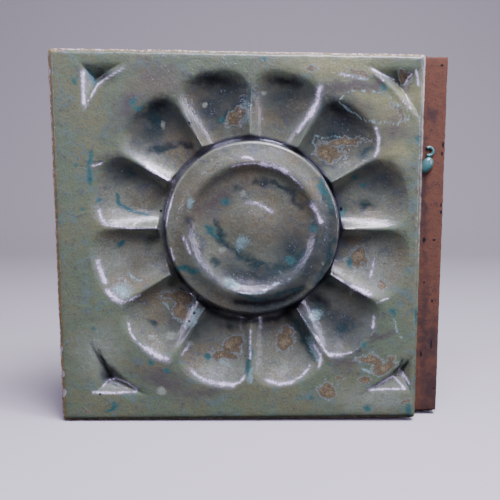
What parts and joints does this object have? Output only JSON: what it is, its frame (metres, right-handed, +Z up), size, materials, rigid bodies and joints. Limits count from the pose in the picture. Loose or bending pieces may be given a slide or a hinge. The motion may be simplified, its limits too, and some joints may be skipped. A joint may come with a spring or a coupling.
{
  "type": "stoneware wall tile",
  "caption": "Square glazed stoneware wall tile with a carved petal rosette round a turned boss, chip-carved corner pits, and an unglazed ledge along one side for the next tile.",
  "frame": {"origin": "middle of the flat back, where the tile is bedded to the wall", "axes": "+Y out of the back into the wall, so the glazed face looks towards -Y; +Z up the wall; +X towards the unglazed ledge"},
  "size_m": [0.1631, 0.0207, 0.1553],
  "materials": {
    "glazed_stoneware": "gloss"
  },
  "bodies": {
    "root": {"stoneware_tile": "glazed_stoneware"}
  },
  "joints": []
}
